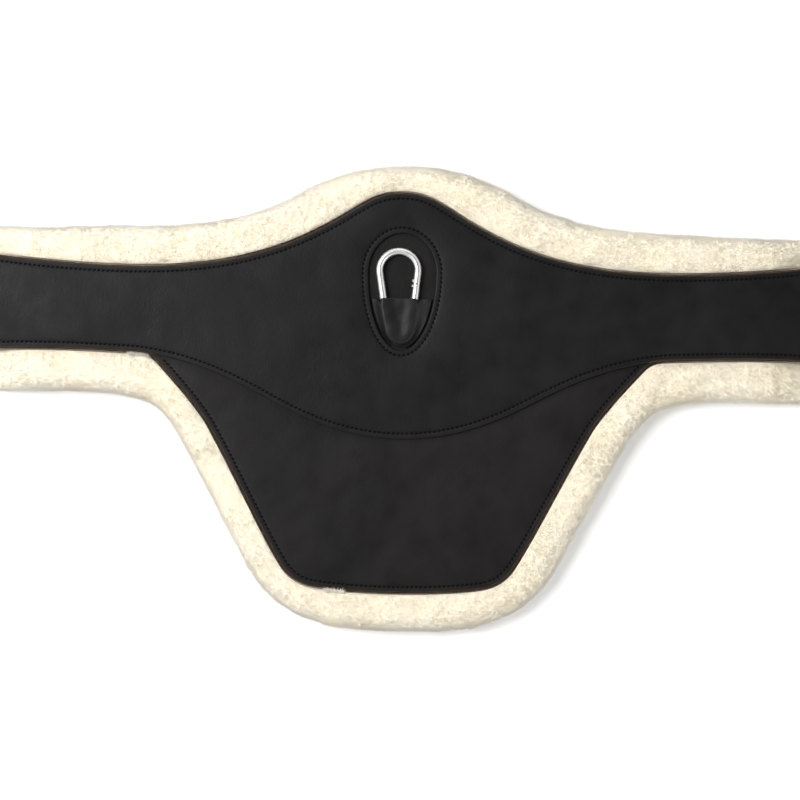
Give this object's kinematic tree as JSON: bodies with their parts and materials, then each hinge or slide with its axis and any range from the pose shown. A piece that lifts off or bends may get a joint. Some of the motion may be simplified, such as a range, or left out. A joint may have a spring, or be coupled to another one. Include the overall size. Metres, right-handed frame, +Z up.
{
  "type": "saddle girth",
  "caption": "Leather saddle girth with a belly guard, a pull-off fleece liner, a central snap hook in a moulded sleeve, and elastic roller-buckle ends.",
  "frame": {"origin": "centre of the bounding box on the table that the fleece lies on: under the middle of the girth, halfway from the fleece's front edge to its rear edge", "axes": "+X along the girth from buckle to buckle, +Y towards the front peak of the guard, +Z up out of the leather, away from the horse"},
  "size_m": [0.8602, 0.368, 0.0357],
  "materials": {
    "outer_leather": "satin",
    "guard_leather": "satin",
    "sleeve_leather": "satin",
    "strap_leather": "satin",
    "lining_leather": "matte",
    "hide": "matte",
    "wool": "matte",
    "foam": "matte",
    "webbing": "matte",
    "hook_tape": "matte",
    "loop_tape": "matte",
    "elastic": "matte",
    "thread": "matte",
    "hook_steel": "polished",
    "pin_steel": "satin",
    "spring_steel": "satin",
    "buckle_steel": "polished"
  },
  "bodies": {
    "girth": {"outer_panel": "outer_leather", "base_panel": "guard_leather", "foam_core": "foam", "girth_webbing": "webbing", "lining": "lining_leather", "hook_tape_left_arm": "hook_tape", "hook_tape_right_arm": "hook_tape", "hook_tape_front": "hook_tape", "hook_tape_guard": "hook_tape", "anchor_strap": "strap_leather", "elastic_left_front": "elastic", "elastic_left_rear": "elastic", "elastic_right_front": "elastic", "elastic_right_rear": "elastic"},
    "liner": {"wool_pile": "wool", "sheepskin_hide": "hide", "loop_tape_left_arm": "loop_tape", "loop_tape_right_arm": "loop_tape", "loop_tape_front": "loop_tape", "loop_tape_guard": "loop_tape"},
    "hook": {"sleeve_back": "sleeve_leather", "sleeve_front": "sleeve_leather", "snap_hook": "hook_steel", "gate_rivet": "pin_steel"},
    "gate": {"hook_gate": "hook_steel", "gate_latch_pin": "pin_steel", "gate_spring": "spring_steel", "gate_plunger": "spring_steel"},
    "chape_left_front_body": {"chape_left_front": "strap_leather"},
    "buckle_left_front": {"buckle_frame_left_front": "buckle_steel"},
    "tongue_left_front": {"buckle_tongue_left_front": "buckle_steel"},
    "roller_left_front": {"buckle_roller_left_front": "buckle_steel"},
    "chape_left_rear_body": {"chape_left_rear": "strap_leather"},
    "buckle_left_rear": {"buckle_frame_left_rear": "buckle_steel"},
    "tongue_left_rear": {"buckle_tongue_left_rear": "buckle_steel"},
    "roller_left_rear": {"buckle_roller_left_rear": "buckle_steel"},
    "chape_right_front_body": {"chape_right_front": "strap_leather"},
    "buckle_right_front": {"buckle_frame_right_front": "buckle_steel"},
    "tongue_right_front": {"buckle_tongue_right_front": "buckle_steel"},
    "roller_right_front": {"buckle_roller_right_front": "buckle_steel"},
    "chape_right_rear_body": {"chape_right_rear": "strap_leather"},
    "buckle_right_rear": {"buckle_frame_right_rear": "buckle_steel"},
    "tongue_right_rear": {"buckle_tongue_right_rear": "buckle_steel"},
    "roller_right_rear": {"buckle_roller_right_rear": "buckle_steel"}
  },
  "joints": [
    {"name": "liner_pull_off", "type": "slide", "parent": "girth", "child": "liner", "axis": [0, 0, -1], "range_m": [0, 0.06]},
    {"name": "hook_lift", "type": "hinge", "parent": "girth", "child": "hook", "pos_m": [0, 0.0389, 0.0262], "axis": [1, 0, 0], "range_deg": [0, 32], "deforming": ["anchor_strap"]},
    {"name": "gate_hinge", "type": "hinge", "parent": "hook", "child": "gate", "pos_m": [0.00832, 0.06064, 0.0301], "axis": [0, 0, 1], "range_deg": [0, 28], "stiffness_Nm_per_rad": 0.1, "springref_deg": -17.19},
    {"name": "stretch_left_front", "type": "slide", "parent": "girth", "child": "chape_left_front_body", "axis": [-0.983, 0, -0.1837], "range_m": [0, 0.02], "stiffness_N_per_m": 1500, "deforming": ["elastic_left_front"]},
    {"name": "buckle_swing_left_front", "type": "hinge", "parent": "chape_left_front_body", "child": "buckle_left_front", "pos_m": [-0.39984, 0.08955, 0.00771], "axis": [0, 1, 0], "range_deg": [-60, 60]},
    {"name": "tongue_lift_left_front", "type": "hinge", "parent": "buckle_left_front", "child": "tongue_left_front", "pos_m": [-0.39984, 0.08955, 0.00771], "axis": [0, 1, 0], "range_deg": [0, 80]},
    {"name": "roller_turn_left_front", "type": "hinge", "parent": "buckle_left_front", "child": "roller_left_front", "pos_m": [-0.42343, 0.08955, 0.0033], "axis": [0, 1, 0], "continuous": true},
    {"name": "stretch_left_rear", "type": "slide", "parent": "girth", "child": "chape_left_rear_body", "axis": [-0.983, 0, -0.1837], "range_m": [0, 0.02], "stiffness_N_per_m": 1500, "deforming": ["elastic_left_rear"]},
    {"name": "buckle_swing_left_rear", "type": "hinge", "parent": "chape_left_rear_body", "child": "buckle_left_rear", "pos_m": [-0.39984, 0.05255, 0.00771], "axis": [0, 1, 0], "range_deg": [-60, 60]},
    {"name": "tongue_lift_left_rear", "type": "hinge", "parent": "buckle_left_rear", "child": "tongue_left_rear", "pos_m": [-0.39984, 0.05255, 0.00771], "axis": [0, 1, 0], "range_deg": [0, 80]},
    {"name": "roller_turn_left_rear", "type": "hinge", "parent": "buckle_left_rear", "child": "roller_left_rear", "pos_m": [-0.42343, 0.05255, 0.0033], "axis": [0, 1, 0], "continuous": true},
    {"name": "stretch_right_front", "type": "slide", "parent": "girth", "child": "chape_right_front_body", "axis": [0.983, 0, -0.1837], "range_m": [0, 0.02], "stiffness_N_per_m": 1500, "deforming": ["elastic_right_front"]},
    {"name": "buckle_swing_right_front", "type": "hinge", "parent": "chape_right_front_body", "child": "buckle_right_front", "pos_m": [0.39984, 0.08955, 0.00771], "axis": [0, -1, 0], "range_deg": [-60, 60]},
    {"name": "tongue_lift_right_front", "type": "hinge", "parent": "buckle_right_front", "child": "tongue_right_front", "pos_m": [0.39984, 0.08955, 0.00771], "axis": [0, -1, 0], "range_deg": [0, 80]},
    {"name": "roller_turn_right_front", "type": "hinge", "parent": "buckle_right_front", "child": "roller_right_front", "pos_m": [0.42343, 0.08955, 0.0033], "axis": [0, 1, 0], "continuous": true},
    {"name": "stretch_right_rear", "type": "slide", "parent": "girth", "child": "chape_right_rear_body", "axis": [0.983, 0, -0.1837], "range_m": [0, 0.02], "stiffness_N_per_m": 1500, "deforming": ["elastic_right_rear"]},
    {"name": "buckle_swing_right_rear", "type": "hinge", "parent": "chape_right_rear_body", "child": "buckle_right_rear", "pos_m": [0.39984, 0.05255, 0.00771], "axis": [0, -1, 0], "range_deg": [-60, 60]},
    {"name": "tongue_lift_right_rear", "type": "hinge", "parent": "buckle_right_rear", "child": "tongue_right_rear", "pos_m": [0.39984, 0.05255, 0.00771], "axis": [0, -1, 0], "range_deg": [0, 80]},
    {"name": "roller_turn_right_rear", "type": "hinge", "parent": "buckle_right_rear", "child": "roller_right_rear", "pos_m": [0.42343, 0.05255, 0.0033], "axis": [0, 1, 0], "continuous": true}
  ]
}
